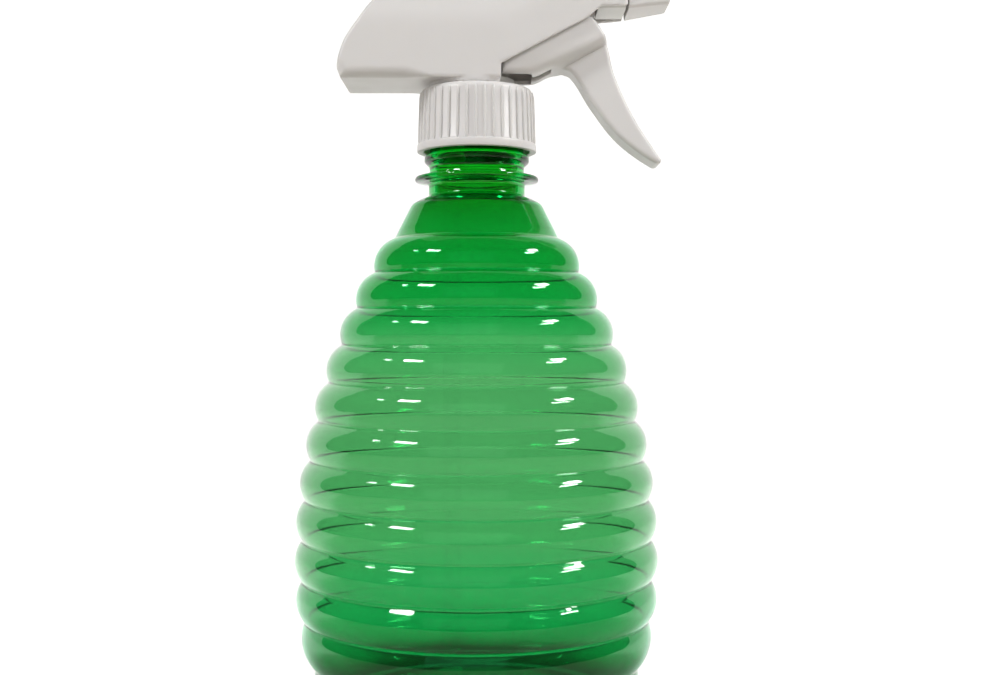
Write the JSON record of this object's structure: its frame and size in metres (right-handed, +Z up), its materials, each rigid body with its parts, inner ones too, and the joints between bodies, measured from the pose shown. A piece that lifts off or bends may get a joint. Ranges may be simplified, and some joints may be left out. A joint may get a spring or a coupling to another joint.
{
  "type": "trigger spray bottle",
  "caption": "Trigger spray bottle: transparent green bottle with stacked convex rings, ribbed white screw collar and a white trigger sprayer head with a squarish turning nozzle.",
  "frame": {"origin": "centre of the ring that the bottle stands on, on the standing plane", "axes": "+Z up along the bottle's axis, +X towards the nozzle, +Y to the left of someone who looks along the jet"},
  "size_m": [0.0992, 0.0964, 0.201],
  "materials": {
    "green_pet": "clear blown PET, glossy",
    "collar_white": "moulded, half gloss",
    "head_white": "moulded, satin, fine grain",
    "inner_white": "moulded, plain",
    "natural_tube": "translucent, smooth",
    "seal_grey": "soft, matt",
    "spring_steel": "drawn wire",
    "ball_steel": "polished"
  },
  "bodies": {
    "bottle": {"bottle": "green_pet"},
    "head": {"pump_body": "inner_white", "shroud": "head_white", "neck_gasket": "seal_grey", "cylinder_guide": "inner_white", "tube_adapter": "inner_white", "dip_tube": "natural_tube", "tube_strainer": "inner_white", "spinner": "inner_white", "nozzle_seal": "seal_grey", "passage_plug": "inner_white"},
    "collar": {"collar": "collar_white"},
    "trigger": {"trigger": "head_white"},
    "plunger": {"plunger_rod": "inner_white", "plunger_cup": "natural_tube", "return_spring": "spring_steel"},
    "nozzle": {"nozzle_cap": "head_white"},
    "inlet_ball": {"inlet_ball": "ball_steel"},
    "outlet_valve": {"outlet_valve": "inner_white", "outlet_spring": "spring_steel"}
  },
  "joints": [
    {"name": "head_lift", "type": "slide", "parent": "bottle", "child": "head", "axis": [0, 0, 1], "range_m": [0, 0.00477]},
    {"name": "collar_turn", "type": "hinge", "parent": "head", "child": "collar", "pos_m": [0, 0, 0.154], "axis": [0, 0, 1], "range_deg": [0, 541]},
    {"name": "trigger_squeeze", "type": "hinge", "parent": "head", "child": "trigger", "pos_m": [0.027, 0, 0.1885], "axis": [0, 1, 0], "range_deg": [0, 15], "stiffness_Nm_per_rad": 0.4, "springref_deg": -20.05},
    {"name": "plunger_slide", "type": "slide", "parent": "head", "child": "plunger", "axis": [-1, 0, 0], "range_m": [0, 0.0051], "deforming": ["return_spring"]},
    {"name": "nozzle_turn", "type": "hinge", "parent": "head", "child": "nozzle", "pos_m": [0.045, 0, 0.1905], "axis": [1, 0, 0], "continuous": true},
    {"name": "inlet_ball_lift", "type": "slide", "parent": "head", "child": "inlet_ball", "axis": [0, 0, 1], "range_m": [0, 0.003]},
    {"name": "outlet_valve_open", "type": "slide", "parent": "head", "child": "outlet_valve", "axis": [1, 0, 0], "range_m": [0, 0.0012], "stiffness_N_per_m": 80, "springref_m": -0.002, "deforming": ["outlet_spring"]}
  ],
  "couplings": [
    {"joint": "collar_turn", "follows": "head_lift", "rad_per_m": 1975.8},
    {"joint": "plunger_slide", "follows": "trigger_squeeze", "m_per_rad": 0.01894}
  ]
}
